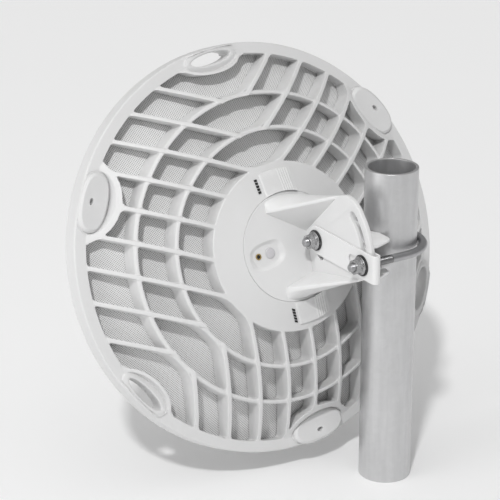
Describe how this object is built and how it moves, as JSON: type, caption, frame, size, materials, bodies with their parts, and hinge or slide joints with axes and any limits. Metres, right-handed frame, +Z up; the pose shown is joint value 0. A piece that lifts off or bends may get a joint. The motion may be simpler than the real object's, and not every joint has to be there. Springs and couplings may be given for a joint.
{
  "type": "parabolic dish antenna",
  "caption": "Small round dish with a ribbed back over a perforated reflector, carried by a tilt bracket on an upright pipe clamp",
  "frame": {"origin": "the foot of the upright pipe, on its axis", "axes": "+Z up along the pipe, the dish looks along -Y, the dish's axis lies at +X of the pipe"},
  "size_m": [0.4, 0.2778, 0.4044],
  "materials": {
    "plastic": "satin",
    "sheet": "satin",
    "steel": "satin",
    "pipe": "satin",
    "brass": "satin",
    "print": "matt"
  },
  "bodies": {
    "pipe": {"pole": "pipe"},
    "clamp": {"clamp_strip": "plastic", "pole_jaw": "plastic", "u_bolt": "steel", "washer_pivot": "steel", "washer_slot": "steel", "nut_pivot": "steel", "nut_slot": "steel"},
    "head": {"rib_frame": "plastic", "reflector_mesh": "sheet", "tilt_bracket": "plastic", "radio_core": "plastic", "feed_tube": "plastic", "feed_cap": "plastic", "latch_tab_upper": "plastic", "latch_tab_lower": "plastic", "scale_strip_upper": "print", "scale_strip_lower": "print", "disc_button": "plastic", "earth_screw": "brass", "rim_cap_left": "plastic", "rim_cap_lower": "plastic", "rim_cap_upper": "plastic"}
  },
  "joints": [
    {"name": "azimuth", "type": "hinge", "parent": "pipe", "child": "clamp", "pos_m": [0, 0, 0.2426], "axis": [0, 0, 1], "continuous": true},
    {"name": "elevation", "type": "hinge", "parent": "clamp", "child": "head", "pos_m": [0, -0.012, 0.2426], "axis": [1, 0, 0], "range_deg": [-32, 1]}
  ]
}
